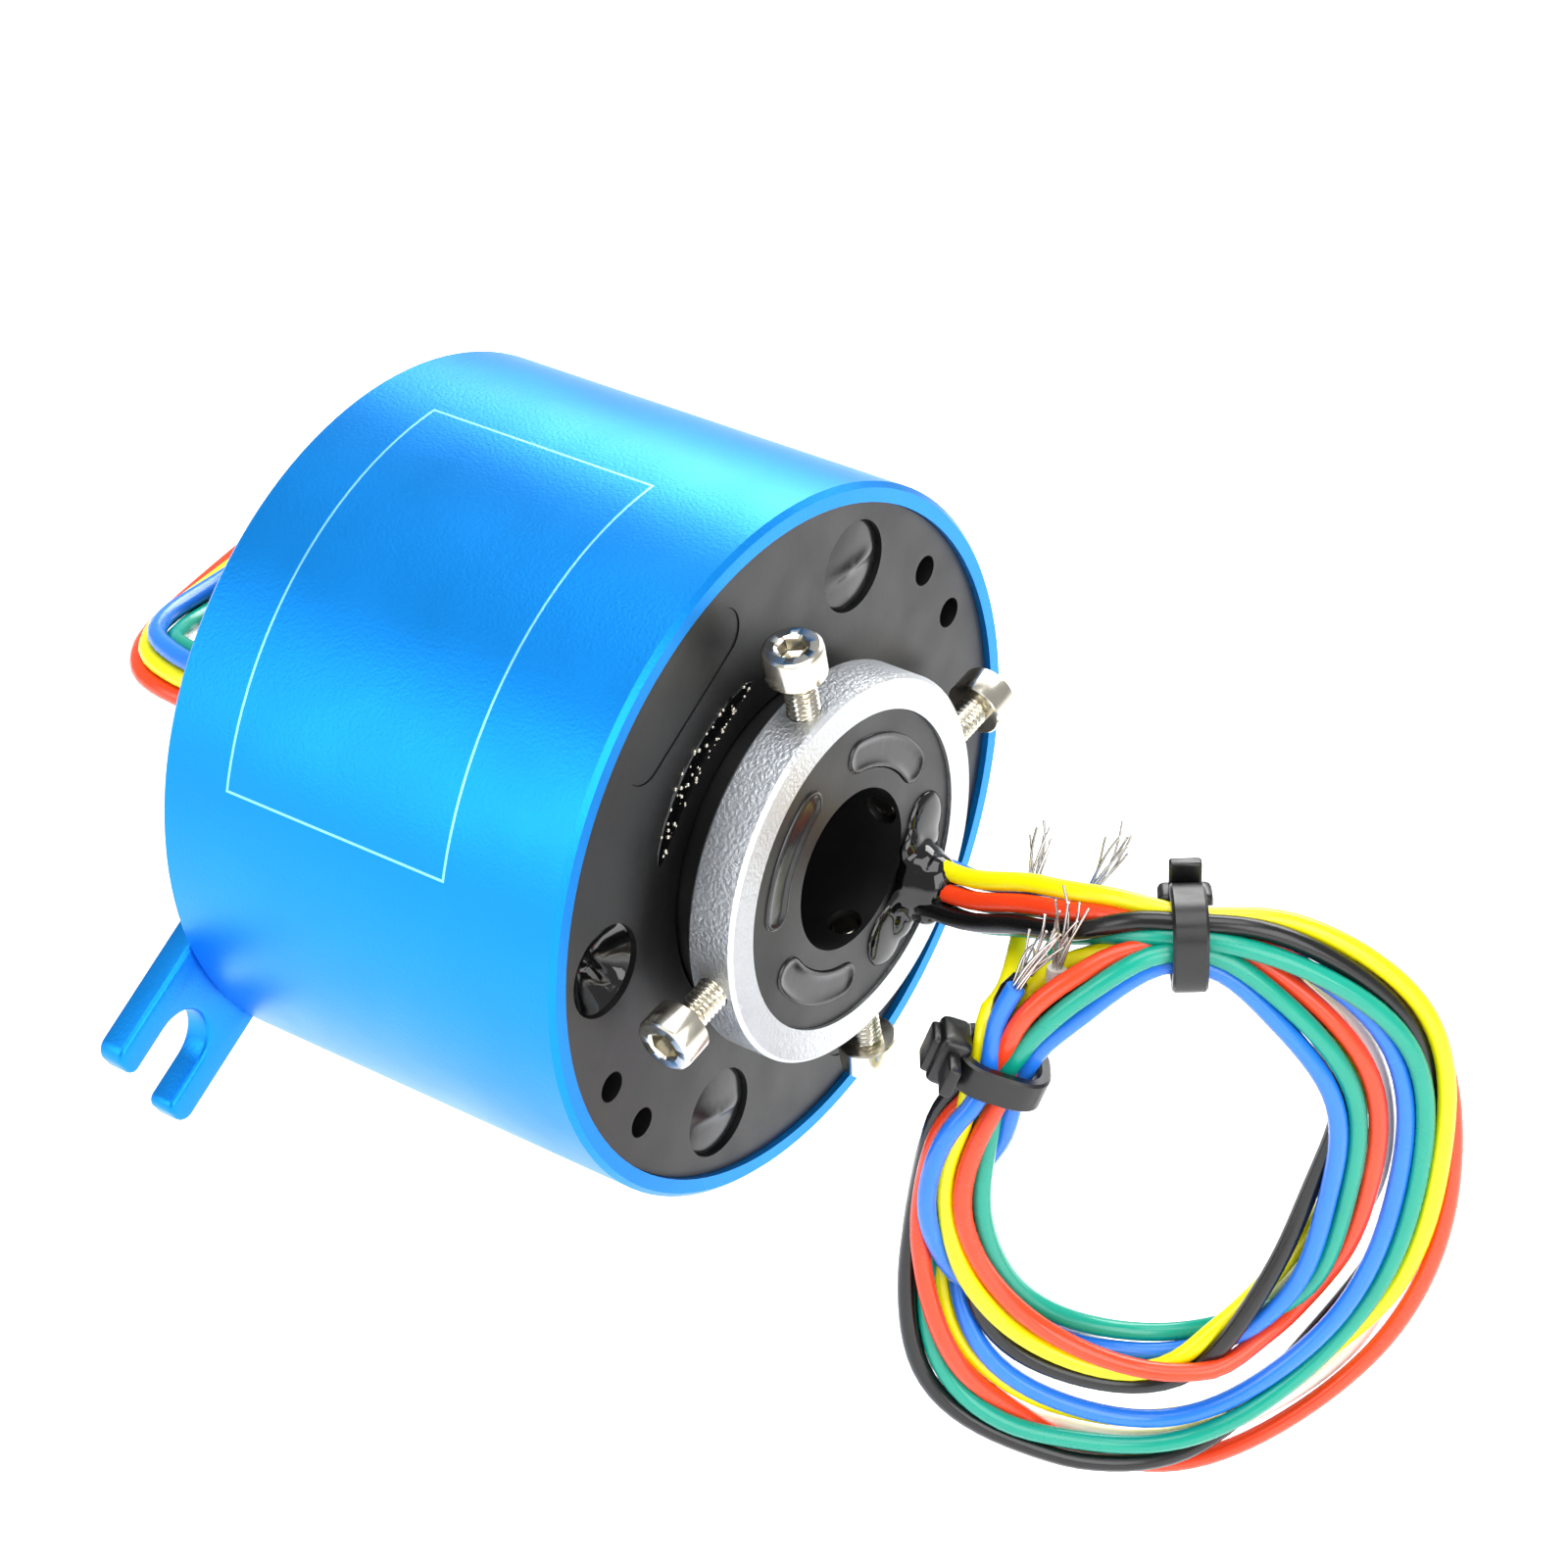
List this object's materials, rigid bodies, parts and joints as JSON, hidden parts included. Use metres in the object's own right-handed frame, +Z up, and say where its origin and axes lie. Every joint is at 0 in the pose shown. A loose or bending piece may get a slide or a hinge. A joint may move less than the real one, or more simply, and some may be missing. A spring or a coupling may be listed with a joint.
{
  "type": "through-bore slip ring",
  "caption": "Through-bore slip ring: a blue drum with black end caps, a clamp collar on a hollow rotor, an anti-rotation fork and coiled lead wires.",
  "frame": {"origin": "on the shaft line, in the plane of the housing's rear rim", "axes": "+X along the shaft bore towards the clamp collar, +Z up"},
  "size_m": [0.1051, 0.0658, 0.08],
  "materials": {
    "blue_anodised": "bead-blasted, blue anodised",
    "black_moulded": "moulded, matte",
    "potting": "cast epoxy, glossy",
    "blasted_aluminium": "bead-blasted, clear anodised",
    "nickel_steel": "nickel-plated",
    "bearing_steel": "ground",
    "brass_ring": "turned, gold-plated",
    "insulator": "moulded",
    "wire_yellow": "extruded insulation",
    "wire_red": "extruded insulation",
    "wire_black": "extruded insulation",
    "wire_blue": "extruded insulation",
    "wire_white": "extruded insulation",
    "wire_green": "extruded insulation",
    "loom": "six colours side by side",
    "tie_nylon": "moulded nylon"
  },
  "bodies": {
    "stator": {"stator_housing": "blue_anodised", "front_end_cap": "black_moulded", "rear_end_cap": "black_moulded", "front_window_potting": "potting", "rear_window_potting": "potting", "anti_rotation_bracket": "blue_anodised", "bracket_screws": "nickel_steel", "brush_block_a": "black_moulded", "brush_block_b": "black_moulded", "brush_wires_a": "brass_ring", "brush_wires_b": "brass_ring", "front_bearing_outer_race": "bearing_steel", "rear_bearing_outer_race": "bearing_steel", "stator_lead_potting": "potting", "stator_lead_red": "wire_red", "stator_lead_yellow": "wire_yellow", "stator_lead_blue": "wire_blue", "stator_lead_black": "wire_black", "stator_lead_white": "wire_white", "stator_lead_green": "wire_green", "stator_lead_coil": "loom", "stator_cable_tie": "tie_nylon"},
    "front_balls": {"front_bearing_balls": "bearing_steel"},
    "rear_balls": {"rear_bearing_balls": "bearing_steel"},
    "clamp_screw_1": {"clamp_screw_1": "nickel_steel"},
    "clamp_screw_2": {"clamp_screw_2": "nickel_steel"},
    "clamp_screw_3": {"clamp_screw_3": "nickel_steel"},
    "clamp_screw_4": {"clamp_screw_4": "nickel_steel"},
    "rotor": {"rotor_sleeve": "black_moulded", "contact_ring_1": "brass_ring", "contact_ring_2": "brass_ring", "contact_ring_3": "brass_ring", "contact_ring_4": "brass_ring", "contact_ring_5": "brass_ring", "contact_ring_6": "brass_ring", "ring_barriers": "insulator", "end_barriers": "insulator", "rear_retaining_ring": "bearing_steel", "front_bearing_inner_race": "bearing_steel", "rear_bearing_inner_race": "bearing_steel", "duct_potting": "potting", "clamp_collar": "blasted_aluminium", "rotor_lead_potting": "potting", "rotor_lead_yellow": "wire_yellow", "rotor_lead_red": "wire_red", "rotor_lead_black": "wire_black", "rotor_lead_blue": "wire_blue", "rotor_lead_white": "wire_white", "rotor_lead_green": "wire_green", "rotor_lead_coil": "loom", "rotor_cable_tie_1": "tie_nylon", "rotor_cable_tie_2": "tie_nylon"}
  },
  "joints": [
    {"name": "rotor_spin", "type": "hinge", "parent": "stator", "child": "rotor", "pos_m": [0, 0, 0], "axis": [1, 0, 0], "continuous": true},
    {"name": "front_ball_orbit", "type": "hinge", "parent": "stator", "child": "front_balls", "pos_m": [0, 0, 0], "axis": [1, 0, 0], "continuous": true},
    {"name": "rear_ball_orbit", "type": "hinge", "parent": "stator", "child": "rear_balls", "pos_m": [0, 0, 0], "axis": [1, 0, 0], "continuous": true},
    {"name": "clamp_screw_1_travel", "type": "slide", "parent": "rotor", "child": "clamp_screw_1", "axis": [0, 0.9703, 0.2419], "range_m": [-0.0035, 0.005]},
    {"name": "clamp_screw_2_travel", "type": "slide", "parent": "rotor", "child": "clamp_screw_2", "axis": [0, -0.2419, 0.9703], "range_m": [-0.0035, 0.005]},
    {"name": "clamp_screw_3_travel", "type": "slide", "parent": "rotor", "child": "clamp_screw_3", "axis": [0, -0.9703, -0.2419], "range_m": [-0.0035, 0.005]},
    {"name": "clamp_screw_4_travel", "type": "slide", "parent": "rotor", "child": "clamp_screw_4", "axis": [0, 0.2419, -0.9703], "range_m": [-0.0035, 0.005]}
  ],
  "couplings": [
    {"joint": "front_ball_orbit", "follows": "rotor_spin", "ratio": 0.4649},
    {"joint": "rear_ball_orbit", "follows": "rotor_spin", "ratio": 0.4649}
  ]
}
